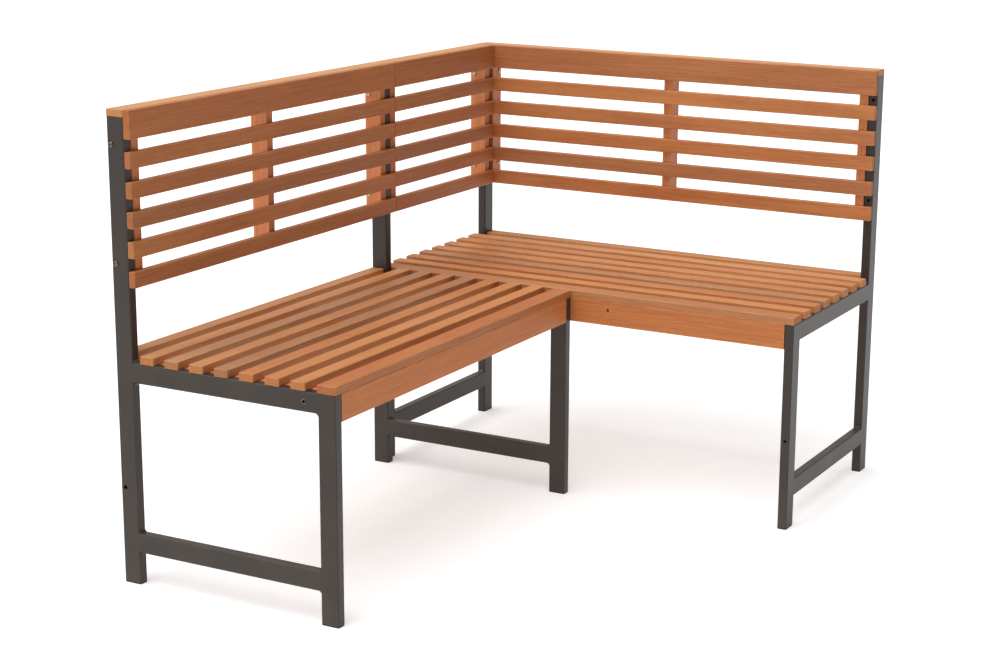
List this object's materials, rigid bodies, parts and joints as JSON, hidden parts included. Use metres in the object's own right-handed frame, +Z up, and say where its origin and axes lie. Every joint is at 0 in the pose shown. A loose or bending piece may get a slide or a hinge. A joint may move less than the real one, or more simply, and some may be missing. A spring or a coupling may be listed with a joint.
{
  "type": "corner bench",
  "caption": "Open corner bench: two arms at a right angle, each a slatted wooden seat and backrest bolted to welded rectangular-tube frames with plastic feet.",
  "frame": {"origin": "on the floor, in the middle of the bench's outer box", "axes": "+Z up, +Y to the back of the right arm, +X to the right along the right arm; the left arm runs forward along -Y with its back at -X"},
  "size_m": [1, 1.3942, 0.911],
  "materials": {
    "back_wood": "oiled, straight grain",
    "seat_wood": "oiled, straight grain",
    "rail_wood": "oiled, straight grain",
    "coated_steel": "satin powder coat",
    "foot_plastic": "matt",
    "bright_steel": "bright",
    "zinc_steel": "yellow zinc plated"
  },
  "bodies": {
    "root": {"corner_back_batten_1": "rail_wood", "corner_back_batten_2": "rail_wood", "corner_back_cap": "back_wood", "corner_back_slat_1": "back_wood", "corner_back_slat_2": "back_wood", "corner_back_slat_3": "back_wood", "corner_back_slat_4": "back_wood", "corner_back_slat_5": "back_wood", "corner_back_top": "back_wood", "end_bolts": "bright_steel", "foot_plugs": "foot_plastic", "joint_bolts": "zinc_steel", "left_apron": "rail_wood", "left_back_batten_1": "rail_wood", "left_back_batten_2": "rail_wood", "left_back_batten_3": "rail_wood", "left_back_cap": "back_wood", "left_back_slat_1": "back_wood", "left_back_slat_2": "back_wood", "left_back_slat_3": "back_wood", "left_back_slat_4": "back_wood", "left_back_slat_5": "back_wood", "left_back_top": "back_wood", "left_end_frame": "coated_steel", "left_inner_frame": "coated_steel", "left_seat_battens": "rail_wood", "left_seat_front_slat": "seat_wood", "left_seat_slat_1": "seat_wood", "left_seat_slat_2": "seat_wood", "left_seat_slat_3": "seat_wood", "left_seat_slat_4": "seat_wood", "left_seat_slat_5": "seat_wood", "left_seat_slat_6": "seat_wood", "left_seat_slat_7": "seat_wood", "left_seat_slat_8": "seat_wood", "right_apron": "rail_wood", "right_back_batten_1": "rail_wood", "right_back_batten_2": "rail_wood", "right_back_batten_3": "rail_wood", "right_back_cap": "back_wood", "right_back_slat_1": "back_wood", "right_back_slat_2": "back_wood", "right_back_slat_3": "back_wood", "right_back_slat_4": "back_wood", "right_back_slat_5": "back_wood", "right_back_top": "back_wood", "right_end_frame": "coated_steel", "right_inner_frame": "coated_steel", "right_seat_battens": "rail_wood", "right_seat_front_slat": "seat_wood", "right_seat_slat_1": "seat_wood", "right_seat_slat_2": "seat_wood", "right_seat_slat_3": "seat_wood", "right_seat_slat_4": "seat_wood", "right_seat_slat_5": "seat_wood", "right_seat_slat_6": "seat_wood", "right_seat_slat_7": "seat_wood", "right_seat_slat_8": "seat_wood"}
  },
  "joints": []
}
